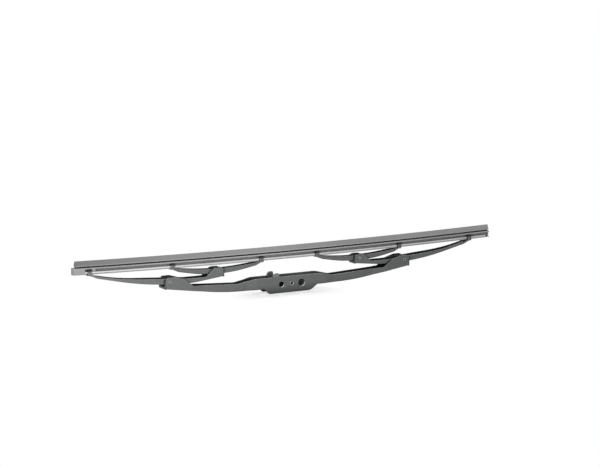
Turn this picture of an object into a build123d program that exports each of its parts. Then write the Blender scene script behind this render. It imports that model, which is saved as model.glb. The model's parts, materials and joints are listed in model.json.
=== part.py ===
from build123d import *
import os
from math import asin, cos, degrees, radians, tan

# Frame wiper blade, standing on its main bracket with the rubber lip up, as for a photograph.
# X runs along the blade, Y across it and Z up towards the glass. The origin is the axis of the centre
# rivet, which the hook of a wiper arm goes round. All sizes are in millimetres.

# Rubber strip, which takes a shallow curve along its length when nothing presses on it
strip_length = 400.0
strip_shift = 4.8  # middle of the rubber, to the right of the centre rivet
strip_height = 21.0  # underside of the rubber above the centre rivet
strip_radius = 8200.0

# Layers of the rubber section, upwards from its underside
base_flange = 0.9
slot_height = 1.3
slot_flange = 0.45
groove_height = 1.75
shoulder_flange = 1.2
neck_height = 1.1
lip_shoulder = 0.6
lip_height = 3.85

# Half widths of the same layers
head_half = 2.75
slot_core = 0.7
slot_flange_half = 2.35
groove_core = 1.5
neck_half = 0.5
lip_half = 2.1
lip_tip_half = 0.33

# Left end of the rubber, where a block closes the head and a lug traps the outer claw
claw_inset = 12.0  # outer claw from the left end
block_proud = 1.9  # end block past the end of the lip
block_gap = 2.3  # end block to claw
lug_gap = 0.4  # lug to claw
lug_length = 2.9

# Spring steel vertebrae in the side slots
vertebra_play = 0.05
vertebra_setback = 3.8  # from the right end of the rubber

# Claws, bent from the ends of the yokes round the head of the rubber
claw_length = 3.4
claw_play = 0.2
claw_tip_gap = 0.35  # tip to the middle wall of the groove
claw_bend = 0.7
claw_root = 2.5  # solid end of a channel, before its claw
claw_lap = 0.1  # arm's end inside the thickness of its claw

# Pressed channels, nested in each other with a plastic liner between
small_half = 3.3  # outside of a small yoke
small_sheet = 0.8
yoke_sheet = 0.9
main_sheet = 1.0
liner_wall = 0.6
pivot_play = 0.1
sheet_bend = 0.6  # bevel outside, where a web turns into its side walls

# Small yokes: a bow with a claw at each end, sizes from its own pivot
small_pivot_x = 68.25
small_pivot_drop = 5.35  # pivot below the rubber
small_reach = 41.25  # pivot to claw
small_under = 2.2  # web below the pivot
small_crown = 2.2  # side walls above the pivot
small_straight = 13.3  # half of the middle, from which the arms rise
small_web_bow = 140.0  # radius of the web between the middle and an arm
small_crown_bow = 210.0  # radius of the side walls' edge there
small_flat = 2.6  # level end of the side walls at the claw
small_knee = 5.0  # steep end of an arm, before the claw
small_web_drop = 2.5  # height of the web's steep end
small_crown_drop = 0.6  # height of the side walls' steep end

# Yokes: a long arm with a claw, and a short arm that carries the small yoke
yoke_pivot_x = 113.0
yoke_pivot_z = 11.06
yoke_under = 2.65
yoke_waist = 1.25  # side walls above the pivot, where the short arm is lowest
waist_start = 16.0  # pivot to the waist
step_run = 7.3  # length of the slope from the waist up to the cheeks
cheek_overhang = 4.2  # end of the cheeks past the small yoke's pivot
cheek_back = 4.2  # top of the cheeks behind that pivot
cheek_crown = 3.2
cheek_under = 4.45
cheek_corner = 2.0
short_start = 22.0  # pivot to where the web of the short arm rises
long_start = 15.6  # pivot to where the web of the long arm rises
short_bow = 80.0  # radius of the web at the short arm's rise
long_bow = 285.0  # radius of the web at the long arm's rise
yoke_flat = 2.7  # level end of the side walls at the claw
yoke_knee = 6.2  # steep end of the long arm, before the claw
yoke_web_drop = 2.8  # height of the web's steep end
yoke_crown_drop = 1.6  # height of the side walls' steep end
knee_bow = 8.0  # radius where an arm steepens towards its claw
crown_elbow = 27.8  # claw to where the long arm's side walls steepen
crown_sag = 2.15  # their edge there, below a straight line from waist to knee
crown_bow = 200.0  # radius of their edge there
yoke_taper_start = 17.0  # pivot to the start of the narrowing long arm
yoke_taper_end = 18.0  # end of the narrowing, before the claw

# Main bracket: two arms, and two plates between which the arm's hook goes, sizes from the centre
plate_top = 6.4
plate_bottom = -7.5
plate_left = 22.0  # lower edge of the plates, to each side
plate_right = 18.5
plate_left_run = 3.1  # length of the bevel at each end of that edge
plate_right_run = 6.5
plate_left_corner = 3.0  # radius between edge and bevel
plate_right_corner = 10.0
shoulder_left = 34.0  # upper edge of the plates, to each side
shoulder_right = 29.0
dip_left_run = 16.0  # shoulder to the lowest point of an arm's upper edge
dip_right_run = 12.0
dip_top = 3.5
dip_bow = 11.0  # radius at both ends of that slope
arm_under = -3.0
arm_bend = 62.0  # where the web turns up
arm_bow = 240.0  # radius of the web there
web_gap = 27.0  # half of the opening in the web
end_overhang = 4.0  # end plates past the yoke's pivot
end_crown = 3.75
end_under = 5.7
end_corner = 2.4
end_foot = 21.0  # pivot to the foot of the end plate's slope
end_foot_drop = 5.2
end_knee = 12.6
end_knee_crown = 1.3
end_head = 4.0
arm_half = 5.0  # outside of an arm between the plates and its end
neck_near = 33.0  # narrowing of an arm, from the centre
neck_far = 42.0
flare_near = 31.0  # widening of an arm, from the yoke's pivot
flare_far = 19.0

# Rivets, tubular and headed on both sides
center_shank = 1.9
center_bore = 1.1
center_head = 2.5
pivot_shank = 1.45
pivot_bore = 0.6
pivot_head = 1.95
small_shank = 1.3
small_bore = 0.55
small_head = 1.75
head_height = 0.5
head_bevel = 0.3

# Pin holes for side pin arms
small_pin_x = -9.8
small_pin_radius = 2.5
large_pin_x = 9.6
large_pin_radius = 3.25

# Liners, with a collar outside the end of their channel
liner_depth = 12.5
liner_crown = 2.6
small_liner_depth = 10.0
small_liner_crown = 2.4
collar_length = 1.0
collar_proud = 0.2

# Arm adapter: a clip on the centre rivet, with two ears that rest over the plates
adapter_play = 0.2
adapter_wall = 0.8
hub_wall = 1.1
hub_slot = 2.8
pin_room = 0.8  # legs above the small pin hole
leg_height = 2.2
ear_left = -17.5
ear_right = -12.0
ear_top = 9.7
ear_thickness = 2.0
ear_gap = 0.15  # ears above the plates
ear_round = 3.2
ear_corner = 1.0

# Sizes that follow from those above
left_end = strip_shift - strip_length / 2
right_end = strip_shift + strip_length / 2
claw_x = -left_end - claw_inset
block_end = -claw_x - claw_length / 2 - block_gap
slot_top = base_flange + slot_height
groove_low = slot_top + slot_flange
groove_top = groove_low + groove_height
head_top = groove_top + shoulder_flange
neck_top = head_top + neck_height
section_top = neck_top + lip_shoulder + lip_height
yoke_inner = small_half + pivot_play + liner_wall
yoke_half = yoke_inner + yoke_sheet
main_inner = yoke_half + pivot_play + liner_wall
main_half = main_inner + main_sheet
main_end = yoke_pivot_x + end_overhang
reach = 3 * strip_length  # longer than any cut
run_share = 0.98  # most of a straight run that the bends at its ends take up
turned = Rot(0, 0, 180)  # right-hand parts to the left


def on_strip(x, height):
    """Place on the rubber's underside, x along from where it is lowest, turned with its curve."""
    turn = asin(x / strip_radius)
    return Location((x, 0, height + strip_radius * (1 - cos(turn))), (0, -degrees(turn), 0))


small_pivot = (on_strip(small_pivot_x, strip_height) * Pos(0, 0, -small_pivot_drop)).position
cheek_end = small_pivot.X - cheek_overhang


def rounded(points, close=False):
    """Line through (x, z, radius) points, each bend's radius limited by the runs beside it."""
    places = [Vector(x, z) for x, z, radius in points]
    runs = [place - places[i - 1] for i, place in enumerate(places)]
    following = runs[1:] + runs[:1]
    bends = [tan(radians(run.get_angle(after)) / 2) for run, after in zip(runs, following)]
    cuts = [radius * bend for (x, z, radius), bend in zip(points, bends)]
    taken = [(cuts[i - 1] + cut) / run.length for i, (cut, run) in enumerate(zip(cuts, runs))]
    limits = [run_share / max(share, run_share) for share in taken]
    beside = [min(pair) for pair in zip(limits, limits[1:] + limits[:1])]
    radii = [radius * limit for (x, z, radius), limit in zip(points, beside)]
    return FilletPolyline(*places, radius=radii if close else radii[1:-1], close=close)


def block(x_low, x_high, half, z_low, z_high):
    """Box that is centred across the blade."""
    size = (x_high - x_low, 2 * half, z_high - z_low)
    return Pos((x_low + x_high) / 2, 0, (z_low + z_high) / 2) * Box(*size)


def across(outline, half):
    """A side-view outline, given its width across the blade."""
    return extrude(Plane.XZ * outline, half, both=True)


def pin(x, z, radius):
    """Cylinder right across the blade, for holes."""
    return Pos(x, 0, z) * Rot(90, 0, 0) * Cylinder(radius, 4 * main_half)


def plan(stations):
    """Plan outline of a channel through (place along, half width) stations."""
    far = [(x, -half) for x, half in reversed(stations)]
    return make_face(Polyline(*stations, *far, close=True))


def drawn_in(stations, sheet):
    """Plan stations of the inside of a channel."""
    return [(x, half - sheet) for x, half in stations]


def web_bends(solid, opening):
    """Edges between a channel's web and its back wall, outside the opening in the middle of the web."""
    walls = []
    webs = []
    for face in solid.faces():
        normal = face.normal_at(face.center())
        if normal.Y > max(abs(normal.X), abs(normal.Z)):
            walls += face.edges()
        elif -normal.Z > max(abs(normal.X), abs(normal.Y)):
            webs += [edge for edge in face.edges() if abs(edge.center().X) > opening]
    return [edge for edge in webs if any(edge.is_same(wall) for wall in walls)]


def channel(side, stations, hollow, hollow_stations, opening=0):
    """Pressed channel: a side outline cut to its plan, less its hollow, cut to a plan of its own."""
    back = extrude(Plane.XZ * side, 2 * main_half, dir=(0, 1, 0))
    back &= extrude(plan(stations), reach, both=True)
    back = chamfer(web_bends(back, opening), sheet_bend)
    inside = across(hollow, 2 * main_half) & extrude(plan(hollow_stations), reach, both=True)
    return back + mirror(back, Plane.XZ) - inside


def along_strip(section, start, end):
    """Sweeps a section of the rubber along its curve between two places."""
    axis = Axis((0, 0, strip_height + strip_radius), (0, 1, 0))
    face = Pos(0, 0, strip_height) * (Plane.YZ * section)
    face = face.rotate(axis, -degrees(end / strip_radius))
    return revolve(face, axis, degrees((end - start) / strip_radius))


def both_sides(*half):
    """Closed section from the points of its right half, which starts and ends on the middle line."""
    return make_face(Polyline(*half, *[(-y, z) for y, z in reversed(half)], close=True))


def band(half, low, high):
    """Plain band of the rubber section, right across it."""
    return Pos(0, (low + high) / 2) * Rectangle(2 * half, high - low)


def make_squeegee():
    section = both_sides(
        (head_half, 0),
        (head_half, base_flange),
        (slot_core, base_flange),
        (slot_core, slot_top),
        (slot_flange_half, slot_top),
        (slot_flange_half, groove_low),
        (groove_core, groove_low),
        (groove_core, groove_top),
        (head_half, groove_top),
        (head_half, head_top),
        (neck_half, head_top),
        (neck_half, neck_top),
        (lip_half, neck_top),
        (lip_half, neck_top + lip_shoulder),
        (lip_tip_half, section_top),
    )
    end_block = band(head_half, 0, head_top)
    lug = band(head_half, slot_top, groove_top)
    lug_start = -claw_x + claw_length / 2 + lug_gap
    squeegee = along_strip(section, left_end, right_end)
    squeegee += along_strip(end_block, left_end - block_proud, block_end)
    squeegee += along_strip(lug, lug_start, lug_start + lug_length)
    return squeegee


def make_vertebra(side):
    """Flat spring in one side slot: side is -1 for the front and 1 for the back."""
    inner = slot_core + vertebra_play
    width = head_half - inner
    thickness = slot_height - 2 * vertebra_play
    middle = Pos(side * (inner + width / 2), base_flange + slot_height / 2)
    section = middle * Rectangle(width, thickness)
    return along_strip(section, block_end + vertebra_play, right_end - vertebra_setback)


def claw(sheet):
    """Claw round the head of the rubber, on the rubber's own place: its tips lie in the claw grooves."""
    inner = head_half + claw_play
    outer = inner + sheet
    tip_low = groove_low + claw_play
    tip_in = groove_core + claw_tip_gap
    points = [
        (-outer, tip_low + sheet, claw_bend),
        (-outer, -claw_play - sheet, claw_bend),
        (outer, -claw_play - sheet, claw_bend),
        (outer, tip_low + sheet, claw_bend),
        (tip_in, tip_low + sheet, 0),
        (tip_in, tip_low, 0),
        (inner, tip_low, 0),
        (inner, -claw_play, 0),
        (-inner, -claw_play, 0),
        (-inner, tip_low, 0),
        (-tip_in, tip_low, 0),
        (-tip_in, tip_low + sheet, 0),
    ]
    section = make_face(rounded(points, close=True))
    return extrude(Plane.YZ * section, claw_length / 2, both=True)


def make_small_yoke():
    """Bow with a claw at each end, drawn from its pivot and then put in place on the strip's curve."""
    seat = on_strip(small_reach, small_pivot_drop).position
    top = seat.Z - claw_play - claw_lap
    low = seat.Z - claw_play - small_sheet + claw_lap
    flat = small_reach - small_flat

    def bow(end_x, end_z, drop, middle_z, radius):
        half = [
            (small_straight, middle_z, radius),
            (small_reach - small_knee, end_z - drop, knee_bow),
            (end_x, end_z, 0),
        ]
        return rounded([(-x, z, bend) for x, z, bend in reversed(half)] + half)

    web = bow(small_reach, low, small_web_drop, -small_under, small_web_bow)
    crown = bow(flat, top, small_crown_drop, small_crown, small_crown_bow)
    right_edge = Polyline((flat, top), (small_reach, top), (small_reach, low))
    left_edge = Polyline((-flat, top), (-small_reach, top), (-small_reach, low))
    side = make_face([web, right_edge, crown, left_edge])
    inner_low = low + small_sheet
    inner_web = bow(small_reach, inner_low, small_web_drop, small_sheet - small_under, small_web_bow)
    lid = Polyline(inner_web @ 0, (-small_reach, reach), (small_reach, reach), inner_web @ 1)
    hollow = make_face([inner_web, lid])
    claw_half = head_half + claw_play + small_sheet
    stations = [
        (-small_reach, claw_half),
        (-flat, small_half),
        (flat, small_half),
        (small_reach, claw_half),
    ]
    solid_end = small_reach - claw_length / 2 - claw_root
    hollow_stations = [(-solid_end, small_half), (solid_end, small_half)]
    yoke = channel(side, stations, hollow, drawn_in(hollow_stations, small_sheet))
    for end in (-1, 1):
        yoke += on_strip(end * small_reach, small_pivot_drop) * claw(small_sheet)
    yoke -= pin(0, 0, small_shank + pivot_play)
    return on_strip(small_pivot_x, strip_height) * Pos(0, 0, -small_pivot_drop) * yoke


def yoke_web(lift):
    """Lower edge of a yoke seen from the side, or its inside when lifted by the sheet's thickness."""
    seat = on_strip(claw_x, strip_height).position
    lowest = yoke_pivot_z - yoke_under
    tip_low = seat.Z - claw_play - yoke_sheet + claw_lap
    points = [
        (cheek_end, small_pivot.Z - cheek_under + lift, 0),
        (yoke_pivot_x - short_start, lowest + lift, short_bow - lift),
        (yoke_pivot_x + long_start, lowest + lift, long_bow - lift),
        (claw_x - yoke_knee, tip_low - yoke_web_drop + lift, knee_bow),
        (claw_x, tip_low + lift, 0),
    ]
    return rounded(points)


def yoke_hollow(lift):
    """Space above a yoke's web, which runs out past the end of its cheeks."""
    web = yoke_web(lift)
    past = cheek_end - liner_depth
    lid = Polyline(web @ 1, (claw_x, reach), (past, reach), (past, (web @ 0).Y), web @ 0)
    return make_face([web, lid])


def make_yoke():
    web = yoke_web(0)
    top = on_strip(claw_x, strip_height).position.Z - claw_play - claw_lap
    flat = claw_x - yoke_flat
    flat_top = on_strip(flat, strip_height).position.Z - claw_play - claw_lap
    waist = yoke_pivot_z + yoke_waist
    cheek_top = small_pivot.Z + cheek_crown
    tip = Polyline((flat, flat_top), (claw_x, top), web @ 1)
    start = yoke_pivot_x - waist_start
    knee = claw_x - yoke_knee
    knee_top = flat_top - yoke_crown_drop
    elbow = claw_x - crown_elbow
    elbow_top = waist + (knee_top - waist) * (elbow - start) / (knee - start) - crown_sag
    points = [
        (flat, flat_top, 0),
        (knee, knee_top, knee_bow),
        (elbow, elbow_top, crown_bow),
        (start, waist, 2 * waist_start),
        (small_pivot.X + cheek_back + step_run, waist, cheek_corner),
        (small_pivot.X + cheek_back, cheek_top, 2 * cheek_corner),
        (cheek_end, cheek_top, cheek_corner),
        ((web @ 0).X, (web @ 0).Y, 0),
    ]
    side = make_face([web, tip, rounded(points)])
    claw_half = head_half + claw_play + yoke_sheet
    arms = [
        (cheek_end, yoke_half),
        (yoke_pivot_x + yoke_taper_start, yoke_half),
        (claw_x - yoke_taper_end, claw_half),
    ]
    stations = arms + [(claw_x, claw_half)]
    hollow_stations = arms + [(claw_x - claw_length / 2 - claw_root, claw_half)]
    yoke = channel(side, stations, yoke_hollow(yoke_sheet), drawn_in(hollow_stations, yoke_sheet))
    yoke += on_strip(claw_x, strip_height) * claw(yoke_sheet)
    yoke -= pin(yoke_pivot_x, yoke_pivot_z, pivot_shank + pivot_play)
    yoke -= pin(small_pivot.X, small_pivot.Z, small_shank)
    return yoke


def arm_side(shoulder, dip_run, plate, run, corner):
    """Side outline of an arm of the main bracket, with its half of the plates, from the centre."""
    points = [
        (0, plate_top, 0),
        (shoulder, plate_top, dip_bow),
        (shoulder + dip_run, dip_top, dip_bow),
        (yoke_pivot_x - end_foot, yoke_pivot_z - end_foot_drop, end_corner),
        (yoke_pivot_x - end_knee, yoke_pivot_z + end_knee_crown, 2 * end_corner),
        (yoke_pivot_x - end_head, yoke_pivot_z + end_crown, 2 * end_corner),
        (main_end, yoke_pivot_z + end_crown, end_corner),
        (main_end, yoke_pivot_z - end_under, 0),
        (arm_bend, arm_under, arm_bow),
        (plate + run, arm_under, 0),
        (plate, plate_bottom, corner),
        (0, plate_bottom, 0),
    ]
    return make_face(rounded(points, close=True))


def main_hollow(lift):
    """Space above the main bracket's web, which runs out past both ends and down through the opening."""
    slope = (yoke_pivot_z - end_under - arm_under) / (main_end - arm_bend)
    past = main_end + liner_depth
    past_z = arm_under + slope * (past - arm_bend) + lift
    right = [
        (web_gap, -reach, 0),
        (web_gap, arm_under + lift, 0),
        (arm_bend, arm_under + lift, arm_bow - lift),
        (past, past_z, 0),
        (past, reach, 0),
    ]
    left = [(-x, z, radius) for x, z, radius in reversed(right)]
    return make_face(rounded(right + left, close=True))


def make_main_bracket():
    half = [
        (neck_near, main_half),
        (neck_far, arm_half),
        (yoke_pivot_x - flare_near, arm_half),
        (yoke_pivot_x - flare_far, main_half),
        (main_end + liner_depth, main_half),
    ]
    stations = [(-x, width) for x, width in reversed(half)] + half
    inside = drawn_in(stations, main_sheet)
    right = arm_side(shoulder_right, dip_right_run, plate_right, plate_right_run, plate_right_corner)
    left = arm_side(shoulder_left, dip_left_run, plate_left, plate_left_run, plate_left_corner)
    bracket = channel(right, stations, main_hollow(main_sheet), inside, web_gap)
    bracket += turned * channel(left, stations, main_hollow(main_sheet), inside, web_gap)
    bracket -= pin(0, 0, center_shank)
    bracket -= pin(small_pin_x, 0, small_pin_radius)
    bracket -= pin(large_pin_x, 0, large_pin_radius)
    for end in (-1, 1):
        bracket -= pin(end * yoke_pivot_x, yoke_pivot_z, pivot_shank)
    return bracket


def rivet(half, shank, bore, head):
    """Tubular rivet about Y, headed over walls that end at half on both sides."""
    right = [
        (shank, half),
        (head, half),
        (head - head_bevel, half + head_height),
        (bore, half + head_height),
    ]
    left = [(radius, -along) for radius, along in reversed(right)]
    return revolve(make_face(Polyline(*right, *left, close=True)), Axis.Y)


def rivet_slot(x, z, shank):
    """Slot from above, through which a liner slips over the shank of its rivet."""
    return block(x - shank, x + shank, reach, z - shank, reach)


def make_yoke_liner():
    """Bush that lines the end of the main bracket round a yoke."""
    top = yoke_pivot_z + liner_crown
    low = yoke_pivot_z - end_under
    lining = across(main_hollow(main_sheet), main_inner)
    lining &= block(main_end - liner_depth, main_end, reach, -reach, top)
    collar = block(main_end, main_end + collar_length, main_half, low - collar_proud, top)
    liner = lining + collar - across(main_hollow(main_sheet + liner_wall), main_inner - liner_wall)
    return liner - rivet_slot(yoke_pivot_x, yoke_pivot_z, pivot_shank)


def make_small_yoke_liner():
    """Bush that lines the cheeks of a yoke round a small yoke."""
    top = small_pivot.Z + small_liner_crown
    low = small_pivot.Z - cheek_under
    lining = across(yoke_hollow(yoke_sheet), yoke_inner)
    lining &= block(cheek_end, cheek_end + small_liner_depth, reach, -reach, top)
    collar = block(cheek_end - collar_length, cheek_end, yoke_half, low - collar_proud, top)
    liner = lining + collar - across(yoke_hollow(yoke_sheet + liner_wall), yoke_inner - liner_wall)
    return liner - rivet_slot(small_pivot.X, small_pivot.Z, small_shank)


def make_arm_adapter():
    """Clip on the centre rivet: a slotted hub, two legs above the small pin hole, and an ear on each leg."""
    outside = main_inner - adapter_play
    hub_bore = center_shank + pivot_play
    hub_radius = hub_bore + hub_wall
    leg_low = small_pin_radius + pin_room
    leg_top = leg_low + leg_height
    ear_low = plate_top + ear_gap
    hub = Rot(90, 0, 0) * Cylinder(hub_radius, 2 * outside)
    cheeks = block(-hub_radius, hub_radius, outside, 0, leg_top)
    legs = block(ear_left, 0, outside, leg_low, leg_top)
    posts = block(ear_left, ear_right, outside, leg_low, ear_low)
    points = [
        (ear_left, ear_low, 0),
        (ear_right, ear_low, 0),
        (ear_right, ear_top, ear_corner),
        (ear_left, ear_top, ear_round),
    ]
    ear_side = make_face(rounded(points, close=True))
    ears = across(ear_side, main_half) - across(ear_side, main_half - ear_thickness)
    gap = outside - adapter_wall
    between = block(ear_left + adapter_wall, hub_radius, gap, 0, reach)
    between += block(ear_left, hub_radius, gap, leg_top, reach)
    clip = hub + (cheeks + legs + posts - between) + ears
    clip += Rot(90, 0, 0) * Cylinder(hub_radius, 2 * gap)
    clip -= pin(0, 0, hub_bore)
    return clip - block(-hub_slot / 2, hub_slot / 2, reach, -reach, 0)


yoke_rivet = rivet(main_half, pivot_shank, pivot_bore, pivot_head)
small_rivet = rivet(yoke_half, small_shank, small_bore, small_head)
right_parts = {
    "yoke": make_yoke(),
    "small_yoke": make_small_yoke(),
    "yoke_liner": make_yoke_liner(),
    "small_yoke_liner": make_small_yoke_liner(),
    "yoke_rivet": Pos(yoke_pivot_x, 0, yoke_pivot_z) * yoke_rivet,
    "small_yoke_rivet": Pos(small_pivot.X, 0, small_pivot.Z) * small_rivet,
}
nodes = {
    "main_bracket": make_main_bracket(),
    "center_rivet": rivet(main_half, center_shank, center_bore, center_head),
    "arm_adapter": make_arm_adapter(),
    "squeegee": make_squeegee(),
    "vertebra_front": make_vertebra(-1),
    "vertebra_back": make_vertebra(1),
}
for name, part in right_parts.items():
    nodes[name + "_right"] = part
    nodes[name + "_left"] = turned * part

os.makedirs("parts", exist_ok=True)
for name, part in nodes.items():
    export_step(part, f"parts/{name}.step")
print(f"{len(nodes)} nodes, small yoke pivot at {small_pivot.X:.3f} {small_pivot.Z:.3f}")
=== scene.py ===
# %% [markdown]
# # A frame wiper blade
# The blade stands on the plates of its main bracket, with the rubber lip up. The steel frame is
# a set of levers: the bracket carries two yokes, each yoke carries a small yoke, and six claws
# hold the rubber. The solids come in as a fixed frame, and each step below gives them a finish
# or puts a finer piece in the place of one of them.

# %% Load the frame
import json
import math
import bpy
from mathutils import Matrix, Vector


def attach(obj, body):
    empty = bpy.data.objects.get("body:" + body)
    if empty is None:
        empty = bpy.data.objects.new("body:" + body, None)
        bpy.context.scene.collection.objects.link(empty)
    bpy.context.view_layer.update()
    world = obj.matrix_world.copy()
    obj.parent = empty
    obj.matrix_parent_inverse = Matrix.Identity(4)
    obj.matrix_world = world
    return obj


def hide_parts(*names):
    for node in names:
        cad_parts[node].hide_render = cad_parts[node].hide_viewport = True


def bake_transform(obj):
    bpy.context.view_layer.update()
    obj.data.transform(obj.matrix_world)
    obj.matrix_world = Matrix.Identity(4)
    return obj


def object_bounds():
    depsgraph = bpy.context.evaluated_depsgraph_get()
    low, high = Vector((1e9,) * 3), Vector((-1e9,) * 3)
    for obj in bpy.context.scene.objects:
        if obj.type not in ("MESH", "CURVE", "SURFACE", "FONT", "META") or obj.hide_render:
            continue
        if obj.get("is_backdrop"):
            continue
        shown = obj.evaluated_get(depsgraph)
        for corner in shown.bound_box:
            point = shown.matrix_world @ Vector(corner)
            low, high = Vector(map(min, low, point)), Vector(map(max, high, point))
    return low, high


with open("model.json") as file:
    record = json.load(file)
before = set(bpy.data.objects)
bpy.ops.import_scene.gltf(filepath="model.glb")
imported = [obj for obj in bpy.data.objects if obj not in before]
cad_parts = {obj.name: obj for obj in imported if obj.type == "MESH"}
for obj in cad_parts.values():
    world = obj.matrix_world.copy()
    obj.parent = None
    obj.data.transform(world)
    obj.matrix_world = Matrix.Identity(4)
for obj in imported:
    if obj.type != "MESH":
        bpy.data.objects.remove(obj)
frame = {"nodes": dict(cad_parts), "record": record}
cad_low, cad_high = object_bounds()
nodes = frame["nodes"]
mm = 0.001
print("solids:", len(nodes), "box in mm:", [round(v / mm, 1) for v in (*cad_low, *cad_high)])

# %% [markdown]
# ## Camera
# A thing that is 400 mm long looks calm through a long lens from far away, because its near end
# doesn't grow. The camera is put on a sphere round the point that it looks at, so its two angles
# can be read off a picture.


# %% Camera
def added(name, data):
    """New object at the origin, linked to the scene."""
    made = bpy.data.objects.new(name, data)
    bpy.context.scene.collection.objects.link(made)
    return made


look_at = Vector((11.7, 0, 41.2)) * mm
distance = 1.614
azimuth = math.radians(-28.5)
elevation = math.radians(9.28)
focal_length = 113.1
sensor_width = 36
level = math.cos(elevation)
outward = Vector((math.sin(azimuth) * level, -math.cos(azimuth) * level, math.sin(elevation)))
lens = bpy.data.cameras.new("camera")
lens.lens = focal_length
lens.sensor_width = sensor_width
camera = added("camera", lens)
camera.location = look_at + distance * outward
camera.rotation_euler = (-outward).to_track_quat("-Z", "Y").to_euler()
bpy.context.scene.camera = camera
bpy.context.scene.view_settings.view_transform = "Standard"
print("camera at", [round(v, 3) for v in camera.location])

# %% [markdown]
# ## Nodes as arithmetic
# A finish is a small sum: some noise times a strength, plus a base, and so on. Wiring such sums
# by hand hides them, so a Term stands for one socket, and Python's own operators add the Math
# nodes. The reflected forms let a plain number come first, as in 1 - mask. A Graph makes every
# other node with one method: settings first, then sockets.


# %% Terms
class Term:
    """One output socket, which can be used in a sum."""

    def __init__(self, graph, socket):
        self.graph = graph
        self.socket = socket

    def out(self, name):
        """Another output of the same node."""
        return Term(self.graph, self.socket.node.outputs[name])

    def math(self, operation, *terms):
        """Math node on terms or plain numbers."""
        return self.graph.node("ShaderNodeMath", dict(enumerate(terms)), operation=operation)

    def __add__(self, other):
        return self.math("ADD", self, other)

    def __radd__(self, other):
        return self.math("ADD", other, self)

    def __sub__(self, other):
        return self.math("SUBTRACT", self, other)

    def __rsub__(self, other):
        return self.math("SUBTRACT", other, self)

    def __mul__(self, other):
        return self.math("MULTIPLY", self, other)

    def __rmul__(self, other):
        return self.math("MULTIPLY", other, self)

    def __truediv__(self, other):
        return self.math("DIVIDE", self, other)

    def __pow__(self, other):
        return self.math("POWER", self, other)

    def __abs__(self):
        return self.math("ABSOLUTE", self)

    def sine(self):
        return self.math("SINE", self)

    def cosine(self):
        return self.math("COSINE", self)

    def step(self, low, high):
        """0 below low and 1 above high, with an even slope between them."""
        return self.graph.node("ShaderNodeMapRange", {0: self, 1: low, 2: high}, clamp=True)


print("terms:", [name for name in vars(Term) if name != "__init__" and callable(vars(Term)[name])])


# %% Graphs
class Graph:
    """Adds nodes to one tree, of a finish or of Geometry Nodes."""

    def __init__(self, tree):
        self.tree = tree

    def node(self, kind, inputs=(), out=0, **settings):
        """New node with its settings and inputs, given back as one of its outputs."""
        made = self.tree.nodes.new(kind)
        for name, value in settings.items():
            setattr(made, name, value)
        for key, value in dict(inputs).items():
            if isinstance(value, Term):
                self.tree.links.new(value.socket, made.inputs[key])
            else:
                made.inputs[key].default_value = value
        return Term(self, made.outputs[out]) if made.outputs else None

    def mix(self, mask, first, second):
        """A colour between two others."""
        ends = {0: mask, 6: first, 7: second}
        return self.node("ShaderNodeMix", ends, out=2, data_type="RGBA")

    def noise(self, place, scale, stretch=(1, 1, 1), detail=3):
        """Noise with grains of about 1 / scale metres, drawn out where the stretch is small."""
        drawn = self.node("ShaderNodeMapping", {0: place, 3: stretch})
        grains = {"Vector": drawn, "Scale": scale, "Detail": detail}
        return self.node("ShaderNodeTexNoise", grains)

    def parts(self, vector):
        """X of a vector, whose Y and Z are the other outputs of the same node."""
        return self.node("ShaderNodeSeparateXYZ", {0: vector}, out="X")


def emptied(owner):
    """Graph on the cleared tree of a material or world."""
    owner.use_nodes = True
    owner.node_tree.nodes.clear()
    return Graph(owner.node_tree)


def grey(value):
    """Colour with three equal parts."""
    return (value, value, value, 1)


print("graph methods:", [name for name in vars(Graph) if not name.startswith("_")])

# %% [markdown]
# ## Studio
# The blade stands on a white sweep. Rays from the camera, and rays off shiny metal, see the floor
# and the world as plain white, while the lamps and a softer world light the blade itself. So the
# ground stays white without more light on the object. Near the plates a share of the floor's
# finish is lit, and that keeps their soft shadow.


# %% Floor
def seen_white(graph):
    """1 for rays of the camera, a mirror or glass, and 0 for light that falls on the blade."""
    path = graph.node("ShaderNodeLightPath", out="Is Camera Ray")
    seen = path + path.out("Is Glossy Ray") + path.out("Is Transmission Ray")
    return seen.step(0, 1)


shadow_share = 0.68
shadow_centre = Vector((-6, -25, 0)) * mm
shadow_near, shadow_far = 20 * mm, 55 * mm
floor_finish = bpy.data.materials.new("studio_floor")
graph = emptied(floor_finish)
bounced = graph.node("ShaderNodeBsdfDiffuse", {"Color": grey(0.5)})
lit = graph.node("ShaderNodeBsdfDiffuse", {"Color": grey(0.9)})
white = graph.node("ShaderNodeEmission", {"Color": grey(1), "Strength": 1.0})
ends = {0: graph.node("ShaderNodeTexCoord", out="Object"), 1: shadow_centre}
reach = graph.node("ShaderNodeVectorMath", ends, out="Value", operation="DISTANCE")
share = shadow_share * (1 - reach.step(shadow_near, shadow_far))
ground = graph.node("ShaderNodeMixShader", {0: share, 1: white, 2: lit})
shader = graph.node("ShaderNodeMixShader", {0: seen_white(graph), 1: bounced, 2: ground})
graph.node("ShaderNodeOutputMaterial", {"Surface": shader})

floor_half = 4.0
floor_z = cad_low.z
turns = ((-1, -1), (1, -1), (1, 1), (-1, 1))
floor_mesh = bpy.data.meshes.new("studio_floor")
corners = [(x * floor_half, y * floor_half, floor_z) for x, y in turns]
floor_mesh.from_pydata(corners, [], [(0, 1, 2, 3)])
floor_mesh.materials.append(floor_finish)
floor = added("studio_floor", floor_mesh)
floor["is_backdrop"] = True
print("floor at", round(floor_z / mm, 2), "mm")

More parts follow.
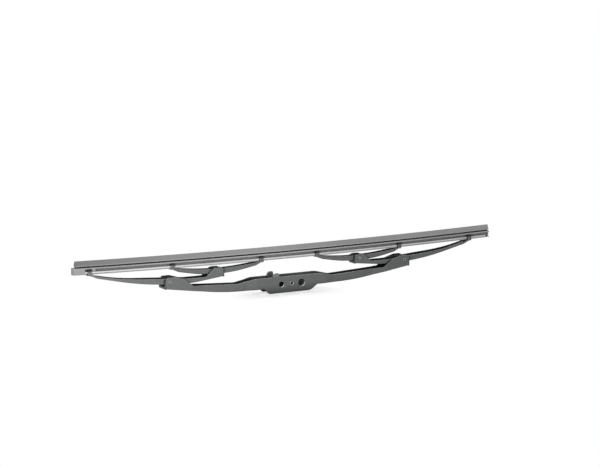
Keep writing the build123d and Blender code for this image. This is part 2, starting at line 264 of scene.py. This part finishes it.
# %% World
world = bpy.data.worlds.new("studio")
bpy.context.scene.world = world
graph = emptied(world)
soft = graph.node("ShaderNodeBackground", {"Color": (0.98, 0.99, 1.0, 1), "Strength": 0.4})
white = graph.node("ShaderNodeBackground", {"Color": grey(1), "Strength": 1.0})
shader = graph.node("ShaderNodeMixShader", {0: seen_white(graph), 1: soft, 2: white})
graph.node("ShaderNodeOutputWorld", {"Surface": shader})
print("world:", len(world.node_tree.nodes), "nodes")

# %% [markdown]
# ### Lamps
# Three softboxes, all pointed at the middle. A near one at the left front makes the left end the
# brightest, because light falls off fast close to a lamp. A large one high behind the right end
# draws the upper edges and throws the plates' shadow forward. A weak one fills in from the right.


# %% Lamps
def softbox(name, place, size, power):
    """Square lamp that points at the middle of the blade."""
    lamp = bpy.data.lights.new(name, "AREA")
    lamp.shape = "SQUARE"
    lamp.size = size
    lamp.energy = power
    box = added(name, lamp)
    box.location = place
    box.rotation_euler = (-Vector(place)).to_track_quat("-Z", "Y").to_euler()
    box.visible_camera = False


softbox("key_box", (-0.36, -0.30, 0.15), 0.3, 3.05)
softbox("top_box", (0.5, 0.8, 1.2), 1.0, 17)
softbox("fill_box", (1.2, -1.0, 0.6), 1.0, 2)

# %% [markdown]
# ## Finishes
# Every finish reads Object coordinates, so its grain has a real size in metres on every piece.
# The Bevel node looks at the surfaces nearby and returns a normal that is rounded at edges: it
# softens the cut edges of the sheet, and the angle between that normal and the true one marks
# the edges, which the finishes paint paler, partly as wear and partly as a painted highlight.
# The Ambient Occlusion node does the opposite: it finds the deep corners, which the finishes
# darken as painted shade.


# %% Finish helpers
def finish(name, **constants):
    """New finish, with its graph, its shader node and the place on the surface."""
    made = bpy.data.materials.new(name)
    graph = emptied(made)
    shader = graph.node("ShaderNodeBsdfPrincipled", constants)
    graph.node("ShaderNodeOutputMaterial", {"Surface": shader})
    place = graph.node("ShaderNodeTexCoord", out="Object")
    return made, graph, shader.socket.node, place


def connect(graph, shader, **terms):
    """Links terms to the shader's sockets, whose names are written with underscores."""
    for name, term in terms.items():
        graph.tree.links.new(term.socket, shader.inputs[name.replace("_", " ")])


def edges(graph, radius):
    """Rounded normal, and a mask of the edges that it rounds."""
    rounded = graph.node("ShaderNodeBevel", {"Radius": radius}, samples=6)
    true = graph.node("ShaderNodeNewGeometry", out="True Normal")
    pair = {0: rounded, 1: true}
    along = graph.node("ShaderNodeVectorMath", pair, out="Value", operation="DOT_PRODUCT")
    return rounded, (1 - along).step(0.01, 0.2)


def openness(graph, reach, own=False):
    """1 in the open, and less where other surfaces, or only the piece's own, lie within reach."""
    settings = {"samples": 8, "only_local": own}
    return graph.node("ShaderNodeAmbientOcclusion", {"Distance": reach}, out="AO", **settings)


def relief(graph, height, depth, normal=None):
    """Bump whose full height is depth metres."""
    inputs = {"Height": height, "Distance": depth, "Strength": 1.0}
    if normal:
        inputs["Normal"] = normal
    return graph.node("ShaderNodeBump", inputs)


helpers = (finish, connect, edges, openness, relief)
print("finish helpers:", [helper.__name__ for helper in helpers])

# %% [markdown]
# ### Painted highlight and shade by place
# Two marks depend on the place. The lower walls of the two pin holes face up to the lamps and get
# a painted highlight. The tips of the claws sit in the shade of the rubber's grooves and get
# painted shade. A mark could be painted on a map, but a distance from a known axis or arc is
# shorter, and stays sharp from near by.

# %% Painted highlight and shade by place
pin_holes = ((-9.8 * mm, 2.5 * mm), (9.6 * mm, 3.25 * mm))
strip_radius = 8.2
strip_height = 21.0 * mm


def hole_wall_highlight(along, facing, x, radius):
    """Painted highlight: 1 on the lower wall of a hole across the blade, and 0 on the plate round
    it.
    """
    off = along - x
    distance = (off * off + along.out("Z") * along.out("Z")) ** 0.5
    across = abs(facing.out("Y"))
    near = 1 - distance.step(radius + 0.1 * mm, radius + 0.3 * mm)
    return near * (1 - across.step(0.3, 0.8)) * facing.out("Z").step(-0.1, 0.6)


def claw_tip_shade(along):
    """Painted shade: 1 where a claw reaches into the grooves of the strip, whose underside follows
    an arc.
    """
    above = along.out("Z") - strip_height - along * along / (2 * strip_radius)
    return above.step(2.0 * mm, 2.8 * mm)


print("marks of use on", len(pin_holes), "holes and the claws")

# %% [markdown]
# ### Painted steel
# The levers are pressed from sheet steel and dipped in black paint, which dries to a satin skin
# with a faint orange peel. A fine noise gives the peel, a broad one makes the gloss uneven, and
# a noise drawn out along the blade gives the light rub marks of handling. The sheet's edges are
# painted paler, partly as worn paint and partly as a painted highlight. The insides of the
# channels, and the places where another piece lies close by, get painted shade: they are painted
# nearly black.

# %% Painted steel
painted_steel, graph, shader, place = finish("painted_steel", **{"Specular IOR Level": 0.3})
rounded, edge = edges(graph, 0.45 * mm)
peel = graph.noise(place, 1400)
broad = graph.noise(place, 45)
rubbed = graph.noise(place, 1500, stretch=(0.03, 1, 1)).step(0.62, 0.8)
along = graph.parts(place)
facing = graph.parts(place.out("Normal"))
left_hole, right_hole = pin_holes
# Painted highlight: the upward-facing lower walls of the pin holes are painted pale.
pale_patch = hole_wall_highlight(along, facing, *left_hole) + hole_wall_highlight(along, facing, *right_hole)
# Painted shade: the claw tips inside the grooves are painted near black.
claw_shade = claw_tip_shade(along) * peel.step(0.1, 0.45)
# Painted shade: channel insides and faces beside another piece are painted nearly black.
beside = openness(graph, 12 * mm).step(0.4, 0.85)
inside = openness(graph, 15 * mm, own=True).step(0.5, 0.93)
unshaded = beside * inside * (1 - claw_shade)
shade = (broad - 0.5) * 0.35 + (peel - 0.5) * 0.15 + 0.5
paint = graph.mix(shade, (0.072, 0.076, 0.074, 1), (0.113, 0.117, 0.115, 1))
# Pale edges: partly worn paint, partly a painted highlight along every edge.
worn_and_edge_highlight = graph.mix((edge * 0.9 + rubbed * 0.12).step(0, 1), paint, (0.34, 0.345, 0.34, 1))
dark = graph.mix(unshaded, (0.008, 0.009, 0.009, 1), worn_and_edge_highlight)
connect(
    graph,
    shader,
    Base_Color=graph.mix(pale_patch, dark, (0.55, 0.55, 0.54, 1)),
    Roughness=0.40 + (broad - 0.5) * 0.3 + rubbed * 0.12,
    Normal=relief(graph, peel, 0.02 * mm, rounded),
)
print("painted_steel:", len(painted_steel.node_tree.nodes), "nodes")

# %% [markdown]
# ### Rubber
# The strip is an extrusion, so its skin carries fine lines along its length, and the lip is
# dusted with graphite so that it doesn't squeak, which makes it a little darker than the head.
# The sweep further down keeps each point's height in the section as an attribute, and the dusting
# reads that, because height in space changes along the bowed strip. Bloom, the pale haze of aged
# rubber, lies in patches. Painted shade darkens the strip towards its left end, and painted light
# makes the lip paler towards its right end, which evens out the near lamp's fall-off. The grooves
# and the neck get painted shade: their corners are painted near black.

# %% Rubber
rubber, graph, shader, place = finish("rubber")
height = graph.node("ShaderNodeAttribute", attribute_name="section_height", out="Fac") / mm
lines = graph.noise(place, 2600, stretch=(0.004, 1, 1), detail=4)
bloom = graph.noise(place, 70, stretch=(0.25, 1, 1))
grain = graph.noise(place, 5000)
along = graph.parts(place)
# Painted shade towards the left end, and painted light on the lip towards the right end.
left_end_shade = (1 - along.step(-0.2, -0.02)) * 0.95
right_end_light = along.step(0.05, 0.2)
dusted = height.step(6.9, 7.8)
# Painted shade: the grooves and the neck are painted near black.
unshaded = openness(graph, 3 * mm).step(0.48, 0.95)
head = graph.mix(bloom, (0.265, 0.265, 0.263, 1), (0.36, 0.36, 0.357, 1))
lip = graph.mix(bloom * 0.6 + right_end_light * 0.6, (0.174, 0.174, 0.173, 1), (0.29, 0.29, 0.287, 1))
skin = graph.mix(left_end_shade * (dusted * 0.37 + 0.63), graph.mix(dusted, head, lip), grey(0.06))
streaked = graph.mix(lines.step(0.35, 0.75) * 0.3, skin, (0.09, 0.09, 0.089, 1))
connect(
    graph,
    shader,
    Base_Color=graph.mix(unshaded, grey(0.01), streaked),
    Roughness=0.62 + (bloom - 0.5) * 0.25 + dusted * 0.1,
    Normal=relief(graph, lines * 0.8 + grain * 0.2, 0.015 * mm),
)
print("rubber:", len(rubber.node_tree.nodes), "nodes")

# %% [markdown]
# ### Spring steel
# The two flat springs are rolled stainless strip, bright, with rolling lines along the blade:
# noise drawn out so far that it turns into lines. Handling leaves smudges, and a dull film of
# road dirt thickens towards the right end.

# %% Spring steel
spring_steel, graph, shader, place = finish("spring_steel", Metallic=1.0)
lines = graph.noise(place, 3000, stretch=(0.006, 1, 1), detail=5)
smudge = graph.noise(place, 35)
film = smudge.step(0.5, 0.8) * 0.3 + graph.parts(place).step(-0.12, 0.14) * 0.6
bright = graph.mix(lines, (0.62, 0.62, 0.615, 1), (0.88, 0.88, 0.875, 1))
connect(
    graph,
    shader,
    Base_Color=graph.mix(film, bright, (0.25, 0.25, 0.243, 1)),
    Roughness=0.26 + (lines - 0.5) * 0.2 + (smudge - 0.5) * 0.15,
    Normal=relief(graph, lines, 0.008 * mm),
)
print("spring_steel:", len(spring_steel.node_tree.nodes), "nodes")

# %% [markdown]
# ### Rivet steel
# The rivets are drawn from soft wire and coated dark. The tool that rolled their heads has left
# rings, and rubbed the coating off in patches round the bore. So the tree that turns them keeps
# each point's distance from the bore as an attribute. The rings are a sine of it, the bare metal
# is where it is small, and the wall of the bore, where it is nothing, gets painted shade: it is
# painted near black.

# %% Rivet steel
ring_width = 0.16 * mm
rivet_steel, graph, shader, place = finish("rivet_steel")
ring = graph.node("ShaderNodeAttribute", attribute_name="ring", out="Fac")
# Painted shade: the wall of the bore is painted near black.
painted_bore_shade = 1 - ring.step(0.02 * mm, 0.08 * mm)
turned = (ring * (2 * math.pi / ring_width)).sine() * 0.5 + 0.5
stain = graph.noise(place, 1200)
pale_patch = (1 - ring.step(0.35 * mm, 0.75 * mm)) * stain.step(0.4, 0.62)
coat = graph.mix(stain, (0.05, 0.053, 0.052, 1), (0.14, 0.143, 0.14, 1))
steel = graph.mix(turned * 0.35, (0.40, 0.40, 0.395, 1), (0.70, 0.70, 0.69, 1))
connect(
    graph,
    shader,
    Base_Color=graph.mix(painted_bore_shade, graph.mix(pale_patch, coat, steel), grey(0.006)),
    Metallic=pale_patch * (1 - painted_bore_shade),
    Roughness=0.36 + stain * 0.2 + painted_bore_shade * 0.4,
    Normal=relief(graph, turned * 0.6 + stain * 0.4, 0.012 * mm),
)
print("rivet_steel:", len(rivet_steel.node_tree.nodes), "nodes")

# %% [markdown]
# ### Moulded plastics
# The liners in the pivots and the adapter for the wiper arm are moulded in black plastic. Moulds
# for such hidden parts are spark eroded, which leaves a fine even grit. The adapter is handled,
# so its ears are polished at the edges, and it is a little paler than the liners. The edges of
# both also get a painted sheen, and the faces that look at a near surface, such as the far ear,
# get painted shade. One function makes both, because they differ only in colour and gloss.


# %% Plastics
def moulded(name, dark, pale, gloss):
    """Plastic with spark eroded grit, glossier at its edges, with painted sheen there and painted
    shade in corners.
    """
    made, graph, shader, place = finish(name)
    rounded, edge = edges(graph, 0.3 * mm)
    grit = graph.noise(place, 3500, detail=2)
    flow = graph.noise(place, 120)
    # Painted sheen: the edges are painted paler than the plastic.
    sheen_colour = tuple(min(1, 1.8 * c) for c in pale)
    with_edge_sheen = graph.mix(edge * 0.3 + (grit - 0.5) * 0.2, graph.mix(flow, dark, pale), sheen_colour)
    # Painted shade: corners and faces that look at a near surface are painted near black.
    unshaded = openness(graph, 16 * mm).step(0.5, 0.97)
    connect(
        graph,
        shader,
        Base_Color=graph.mix(unshaded, grey(0.008), with_edge_sheen),
        Roughness=gloss + (flow - 0.5) * 0.2 - edge * 0.12,
        Normal=relief(graph, grit, 0.015 * mm, rounded),
    )
    print(name + ":", len(made.node_tree.nodes), "nodes")
    return made


liner_dark, liner_pale = (0.022, 0.023, 0.024, 1), (0.04, 0.042, 0.043, 1)
adapter_dark, adapter_pale = (0.085, 0.09, 0.089, 1), (0.155, 0.161, 0.160, 1)
liner_plastic = moulded("liner_plastic", liner_dark, liner_pale, 0.42)
adapter_plastic = moulded("adapter_plastic", adapter_dark, adapter_pale, 0.46)

# %% [markdown]
# ### Which finish goes where
# The solids keep their meshes, and only their material slots change. The record names a slot for
# every node, so one table from slot to finish covers all of them.

# %% Assign finishes
finishes = {
    "painted_steel": painted_steel,
    "rivet_steel": rivet_steel,
    "rubber": rubber,
    "spring_steel": spring_steel,
    "liner_plastic": liner_plastic,
    "adapter_plastic": adapter_plastic,
}
for part in frame["record"]["subparts"]:
    mesh = nodes[part["node"]].data
    mesh.materials.clear()
    mesh.materials.append(finishes[part["material_slot"]])
print("finishes on", len(nodes), "solids")

# %% [markdown]
# ## The rubber strip
# The strip has one section all along: a head with a slot for the springs and a groove for the
# claws on each side, a thin neck on which the lip can lean over, and the tapered lip. The section
# is the same on both sides, so only its right half is written down, in millimetres across and up.
# Its corners are rounded, as on any moulded rubber.


# %% Sections
def with_neighbours(points):
    """Each point of a closed outline, between the one before and the one after it."""
    return zip(points[-1:] + points[:-1], points, points[1:] + points[:1])


def rounded_corners(points, radius, share=0.4, steps=3):
    """The outline with short arcs for corners, which take at most a share of each side."""
    outline = []
    for before, corner, after in with_neighbours(points):
        corner = Vector(corner)
        to_before = Vector(before) - corner
        to_after = Vector(after) - corner
        cut = min(radius, share * to_before.length, share * to_after.length)
        start = corner + cut * to_before.normalized()
        end = corner + cut * to_after.normalized()
        for i in range(steps):
            t = i / (steps - 1)
            outline.append((1 - t) ** 2 * start + 2 * t * (1 - t) * corner + t**2 * end)
    return outline


def both_sides(half, radius=0.16):
    """Closed outline from its right half."""
    return rounded_corners(half + [(-y, z) for y, z in reversed(half)], radius)


strip_left, strip_right = -195.2 * mm, 204.8 * mm
head_half, head_top = 2.75, 5.6
slot_half, slot_low, slot_top = 0.7, 0.9, 2.2
rib_half = 2.35
groove_half, groove_low, groove_top = 1.5, 2.65, 4.4
neck_half, neck_top = 0.5, 6.7
shoulder_half, shoulder_top = 2.1, 7.3
lip_edge, lip_top = 0.33, 11.15
print("strip from", round(strip_left / mm, 1), "to", round(strip_right / mm, 1), "mm")

# %% [markdown]
# ### Outlines of the strip
# The plain section is the head with the lip in one outline. Near the left end the head is moulded
# solid, as a block, and a lug fills the groove. A sweep keeps its outline from end to end, so the
# head, the block, the lip and the lug have outlines of their own there. The root of the lip and
# the lug reach a little into the head, so that no gap shows between them.

# %% Outlines
lip_root = 0.2
lug_under, lug_lap = 0.02, 0.1
head_side = [
    (head_half, 0),
    (head_half, slot_low),
    (slot_half, slot_low),
    (slot_half, slot_top),
    (rib_half, slot_top),
    (rib_half, groove_low),
    (groove_half, groove_low),
    (groove_half, groove_top),
    (head_half, groove_top),
    (head_half, head_top),
]
lip_side = [
    (neck_half, neck_top),
    (shoulder_half, neck_top),
    (shoulder_half, shoulder_top),
    (lip_edge, lip_top),
]
lug_half = head_half - lug_under
rubber_section = both_sides([*head_side, (neck_half, head_top), *lip_side])
head_section = both_sides(head_side)
block_section = both_sides([(head_half, 0), (head_half, head_top)])
lip_section = both_sides([(neck_half, head_top - lip_root), *lip_side])
lug_section = both_sides([(lug_half, slot_top - lug_lap), (lug_half, groove_top + lug_lap)])
print("rubber section:", len(rubber_section), "points")

# %% [markdown]
# ### Sweep
# A strip with one section all along is a sweep: Geometry Nodes draw a straight line, cut it in
# short steps, sweep the section along it, and then bend the bar to the strip's arc with two sums.
# The section could be swept along the arc at once, but on a straight bar each point's height in
# the section, which the rubber's finish needs, is simply its Z. Short steps matter, because the
# strip has to flex smoothly when the levers move.


# %% Sweep tree
def new_tree(name, **inputs):
    """Empty tree of Geometry Nodes with named inputs, and its graph."""
    tree = bpy.data.node_groups.new(name, "GeometryNodeTree")
    for label, kind in inputs.items():
        tree.interface.new_socket(label, in_out="INPUT", socket_type="NodeSocket" + kind)
    tree.interface.new_socket("Geometry", in_out="OUTPUT", socket_type="NodeSocketGeometry")
    return tree, Graph(tree)


def keep(graph, geometry, name, value):
    """Geometry whose points carry a value under a name."""
    inputs = {"Geometry": geometry, "Name": name, "Value": value}
    kind = {"data_type": "FLOAT", "domain": "POINT"}
    return graph.node("GeometryNodeStoreNamedAttribute", inputs, **kind)


def end_tree(graph, geometry, look):
    """Real geometry with its finish, as the tree's output."""
    real = graph.node("GeometryNodeRealizeInstances", {"Geometry": geometry})
    done = graph.node("GeometryNodeSetMaterial", {"Geometry": real, "Material": look})
    graph.node("NodeGroupOutput", {"Geometry": done})


def sweep_tree():
    """Geometry Nodes that sweep the profile they are given along X, and bend the bar to an arc."""
    sizes = dict.fromkeys(("Start", "End", "Step", "Radius", "Height"), "Float")
    tree, graph = new_tree("strip_sweep", Profile="Geometry", **sizes, Finish="Material")
    given = graph.node("NodeGroupInput", out="Profile")
    start = graph.node("ShaderNodeCombineXYZ", {"X": given.out("Start")})
    end = graph.node("ShaderNodeCombineXYZ", {"X": given.out("End")})
    line = graph.node("GeometryNodeCurvePrimitiveLine", {"Start": start, "End": end})
    cut = {"Curve": line, "Length": given.out("Step")}
    steps = graph.node("GeometryNodeResampleCurve", cut, mode="LENGTH")
    swept = {"Curve": steps, "Profile Curve": given, "Fill Caps": True}
    bar = graph.node("GeometryNodeCurveToMesh", swept)
    along = graph.parts(graph.node("GeometryNodeInputPosition"))
    up = along.out("Z")
    kept = keep(graph, bar, "section_height", up)
    radius = given.out("Radius")
    angle = along / radius
    half = (angle / 2).sine()
    bent_x = (radius - up) * angle.sine()
    bent_z = given.out("Height") + up * angle.cosine() + 2 * radius * half * half
    bent = graph.node("ShaderNodeCombineXYZ", {"X": bent_x, "Y": along.out("Y"), "Z": bent_z})
    arc = graph.node("GeometryNodeSetPosition", {"Geometry": kept, "Position": bent})
    end_tree(graph, arc, given.out("Finish"))
    return tree


strip_sweep = sweep_tree()
print("strip_sweep:", len(strip_sweep.nodes), "nodes")

# %% [markdown]
# ### From a tree to a mesh
# A tree needs an object to run on: a flat curve for the strip, and a few points for the rivets.
# The result is taken off as a plain mesh, and the host is deleted. Faces that meet at a small
# angle are shaded smooth, and sharper edges stay sharp.

# %% Run a tree
sharp_angle = math.radians(40)
strip_step = 2.5 * mm


def profile_curve(name, outline):
    """Closed flat curve from millimetres, turned half round because the sweep turns it back."""
    curve = bpy.data.curves.new(name, "CURVE")
    curve.dimensions = "2D"
    spline = curve.splines.new("POLY")
    spline.points.add(len(outline) - 1)
    for point, (y, z) in zip(spline.points, outline):
        point.co = (-y * mm, -z * mm, 0, 1)
    spline.use_cyclic_u = True
    return curve


def run_nodes(name, data, tree, **inputs):
    """Mesh that a tree makes from data, with the inputs set by their sockets' identifiers."""
    host = added(name, data)
    modifier = host.modifiers.new(tree.name, "NODES")
    modifier.node_group = tree
    for socket in tree.interface.items_tree:
        if socket.in_out == "INPUT" and socket.name in inputs:
            modifier[socket.identifier] = inputs[socket.name]
    graph = bpy.context.evaluated_depsgraph_get()
    shape = host.evaluated_get(graph)
    mesh = bpy.data.meshes.new_from_object(shape, preserve_all_data_layers=True, depsgraph=graph)
    bpy.data.objects.remove(host)
    mesh.shade_smooth()
    mesh.set_sharp_from_angle(angle=sharp_angle)
    mesh.name = name
    return mesh


def strip(name, outline, start, end, look):
    """Length of one section along the strip's arc."""
    sizes = {"Start": start, "End": end, "Step": strip_step}
    arc = {"Radius": strip_radius, "Height": strip_height}
    return run_nodes(name, profile_curve(name, outline), strip_sweep, Finish=look, **sizes, **arc)


print("sweeps take steps of", strip_step / mm, "mm")

# %% [markdown]
# ### Four spans that flex
# On the car the strip bends as the yokes rock. The strip is cut in four where a claw or the middle
# holds it. For each span the table gives its ends, the two neighbouring levers that it turns
# between, and where its turn starts and ends: the outer spans turn from the yoke's claw to the
# small yoke's two claws, and the inner ones from there to the middle, which stays level. The turn
# is chosen so that a span moves with its lever at each claw, and lies level at the middle. Here
# only the ends are used, and the spans stay at rest.

# %% Spans
inner_claw = 27.0 * mm
middle = 0.75 * mm
yoke_hold, small_hold = 177 * mm, 112 * mm
inner_start, inner_end = 98.8 * mm, 150 * mm
spans = {
    "outer_left": (
        strip_left, -inner_claw, "yoke_left", "small_yoke_left", -yoke_hold, -small_hold
    ),
    "inner_left": (-inner_claw, -middle, "yoke_left", "frame", -inner_start, inner_end),
    "inner_right": (middle, inner_claw, "yoke_right", "frame", inner_start, -inner_end),
    "outer_right": (
        inner_claw, strip_right, "yoke_right", "small_yoke_right", yoke_hold, small_hold
    ),
}


def flexing_piece(name, mesh, node):
    """Adds a span of the strip as an object, and hides the solid that it stands in for."""
    piece = added(name, mesh)
    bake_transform(piece)
    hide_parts(node)


print("spans:", {name: [round(v / mm, 1) for v in span[:2]] for name, span in spans.items()})

# %% [markdown]
# ### Cores across the cuts
# When the strip flexes, the ends at a cut tilt and slide a little against each other, most of all
# at the middle, where they are kept apart. Overlapping skins would flicker, so a short core
# bridges each cut instead, so little under the skin that no seam shows. It belongs to one of the
# two spans and is joined to its mesh.

# %% Cores
cuts = {"outer_left": -inner_claw, "inner_left": 0.0, "outer_right": inner_claw}
core_depth = 0.012
core_reach = 1.5 * mm


def core(name, outline, span, look):
    """List with the core of the cut that a span bridges, or an empty one."""
    if span not in cuts:
        return []
    inset = []
    for before, point, after in with_neighbours(outline):
        run = (after - before).normalized()
        inset.append(point + core_depth * Vector((-run.y, run.x)))
    return [strip(name + "_core", inset, cuts[span] - core_reach, cuts[span] + core_reach, look)]


def joined(name, meshes):
    """One mesh from several."""
    if len(meshes) == 1:
        return meshes[0]
    objects = [added(name, mesh) for mesh in meshes]
    with bpy.context.temp_override(active_object=objects[0], selected_editable_objects=objects):
        bpy.ops.object.join()
    mesh = objects[0].data
    bpy.data.objects.remove(objects[0])
    return mesh


print("cuts at", [round(x / mm, 1) for x in cuts.values()], "mm")

# %% [markdown]
# ### Squeegee
# At its left end the head is moulded solid, and this block stands a little past the lip. Behind
# the claw that comes next, a lug fills the groove, so that the claw can't slide along. So the
# left span is made of four sweeps: the block, the plain head from there on, the lip that runs
# over both, and the lug. The block and the head end a hair apart, so that each stays a closed
# shell of its own.

# %% Squeegee
claw_left, claw_right = -184.9 * mm, -181.5 * mm
block_overhang, block_gap = 1.9 * mm, 2.3 * mm
lug_gap, lug_end = 0.4 * mm, 3.3 * mm
block_left, block_right = strip_left - block_overhang, claw_left - block_gap
lug_left, lug_right = claw_right + lug_gap, claw_right + lug_end
hair = 0.005 * mm
for span, (low, high, *_) in spans.items():
    name = "squeegee_" + span
    if span == "outer_left":
        runs = [
            strip("end_block", block_section, block_left, block_right - hair, rubber),
            strip("head", head_section, block_right, high, rubber),
            strip("lip", lip_section, low, high, rubber),
            strip("lug", lug_section, lug_left, lug_right, rubber),
        ]
    else:
        runs = [strip(name, rubber_section, low, high, rubber)]
    mesh = joined(name, runs + core(name, rubber_section, span, rubber))
    flexing_piece(name, mesh, "squeegee")
    print(name + ":", len(mesh.polygons), "faces")

# %% [markdown]
# ### Vertebrae
# The two springs lie in the side slots of the head and press the rubber flat on the glass. They
# are the same kind of sweep, of a small bar. The right end of the rubber stands a little past
# them, and the block stops them at the left.

# %% Vertebrae
play = 0.05
spring_corner = 0.18
spring_inner, spring_outer = slot_half + play, head_half
spring_low, spring_high = slot_low + play, slot_top - play
rubber_past = 3.8 * mm
spring_left, spring_right = block_right + play * mm, strip_right - rubber_past
for side, sign in (("front", -1), ("back", 1)):
    inner, outer = sign * spring_inner, sign * spring_outer
    bar = [(inner, spring_low), (outer, spring_low), (outer, spring_high), (inner, spring_high)]
    outline = rounded_corners(bar if sign > 0 else bar[::-1], spring_corner)
    for span, (low, high, *_) in spans.items():
        name = f"vertebra_{side}_{span}"
        start, end = max(low, spring_left), min(high, spring_right)
        run = strip(name, outline, start, end, spring_steel)
        mesh = joined(name, [run, *core(name, outline, span, spring_steel)])
        flexing_piece(name, mesh, f"vertebra_{side}")
print("vertebrae:", 2 * len(spans), "spans")

# %% [markdown]
# ## Rivets
# Five tubular rivets hold the levers together. All have one shape in three sizes, so a tree turns
# a half section round a circle and puts a copy on every point that it is given. The circle is the
# wall of the bore, so the distance of a point from it is easy to keep for the finish.


# %% Rivet tree
def rivet_tree():
    """Geometry Nodes that turn a half section about Y, and put a copy on each point given."""
    inputs = {"Places": "Geometry", "Section": "Object", "Bore": "Float", "Sides": "Int"}
    tree, graph = new_tree("rivet_row", **inputs, Finish="Material")
    given = graph.node("NodeGroupInput", out="Places")
    chosen = {"Object": given.out("Section")}
    section = graph.node("GeometryNodeObjectInfo", chosen, out="Geometry")
    wall = {"Resolution": given.out("Sides"), "Radius": given.out("Bore")}
    circle = graph.node("GeometryNodeCurvePrimitiveCircle", wall)
    turned = graph.node("GeometryNodeCurveToMesh", {"Curve": circle, "Profile Curve": section})
    across = graph.parts(graph.node("GeometryNodeInputPosition"))
    distance = (across * across + across.out("Y") * across.out("Y")) ** 0.5
    kept = keep(graph, turned, "ring", distance - given.out("Bore"))
    lying = {"Geometry": kept, "Rotation": (math.pi / 2, 0, 0)}
    rivet = graph.node("GeometryNodeTransform", lying)
    copies = graph.node("GeometryNodeInstanceOnPoints", {"Points": given, "Instance": rivet})
    end_tree(graph, copies, given.out("Finish"))
    return tree


rivet_row = rivet_tree()
print("rivet_row:", len(rivet_row.nodes), "nodes")

# %% [markdown]
# ### Section and sizes of a rivet
# The head is domed, and its rim is rolled into the bore, which makes the bright ring that a rivet
# shows. A size is half the length between the heads, and the radius of the shank, the bore and
# the head, in millimetres.

# %% Rivet sizes
edge_height, dome_slope, dome_height, crown_height = 0.16, 0.28, 0.42, 0.5
roll_width, roll_slope, roll_depth = 0.4, 0.1, 0.15
rivet_corner = 0.1
center_size = (6.6, 1.9, 1.1, 2.5)
yoke_size = (6.6, 1.45, 0.6, 1.95)
small_size = (4.9, 1.3, 0.55, 1.75)


def rivet_section(half, shank, bore, head):
    """Half section as (distance inwards from the bore's wall, place along), with both heads."""
    dome = [
        (shank, half),
        (head, half),
        (head, half + edge_height),
        (head - dome_slope, half + dome_height),
        (bore + roll_width, half + crown_height),
        (bore + roll_slope, half + dome_height),
        (bore, half + roll_depth),
    ]
    outline = dome + [(radius, -along) for radius, along in reversed(dome)]
    rounded = rounded_corners(outline, rivet_corner)
    return [(bore - radius, along) for radius, along in reversed(rounded)]


print("rivet section:", len(rivet_section(*center_size)), "points")

# %% [markdown]
# ### Rivets in place
# A rivet rides on the lever that holds its ends. The two yoke rivets sit in the main bracket, so
# they make one piece, and each small rivet goes with its own yoke.

# %% Rivets
yoke_x, yoke_z = 113.0, 11.06
small_x, small_z = 68.295, 15.934
circle_sides = 48
yoke_places = {"yoke_rivet_left": (-yoke_x, yoke_z), "yoke_rivet_right": (yoke_x, yoke_z)}
left_place = {"small_yoke_rivet_left": (-small_x, small_z)}
right_place = {"small_yoke_rivet_right": (small_x, small_z)}
rivets = {
    "center_rivet": ("frame", center_size, {"center_rivet": (0, 0)}),
    "yoke_rivets": ("frame", yoke_size, yoke_places),
    "small_yoke_rivet_left_piece": ("yoke_left", small_size, left_place),
    "small_yoke_rivet_right_piece": ("yoke_right", small_size, right_place),
}
for name, (body, size, places) in rivets.items():
    *_, bore, head = size
    section = added(name + "_section", profile_curve(name, rivet_section(*size)))
    points = bpy.data.meshes.new(name)
    points.from_pydata([(x * mm, 0, z * mm) for x, z in places.values()], [], [])
    inputs = {"Section": section, "Bore": bore * mm, "Sides": circle_sides}
    mesh = run_nodes(name, points, rivet_row, Finish=rivet_steel, **inputs)
    bpy.data.objects.remove(section)
    piece = added(name + ".turned", mesh)
    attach(piece, body)
    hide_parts(*places)
    print(name + ":", len(mesh.polygons), "faces, heads", round(2 * head, 2), "mm across")

# %% [markdown]
# ## Sizes
# Both boxes are printed, that of the solids at the start and that of the dressed blade here, so
# that the two sizes can be set side by side. The dressed blade has to keep the size of the
# solids.

# %% Finish
low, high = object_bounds()
print("visual box in mm:", [round(v / mm, 1) for v in (*low, *high)])
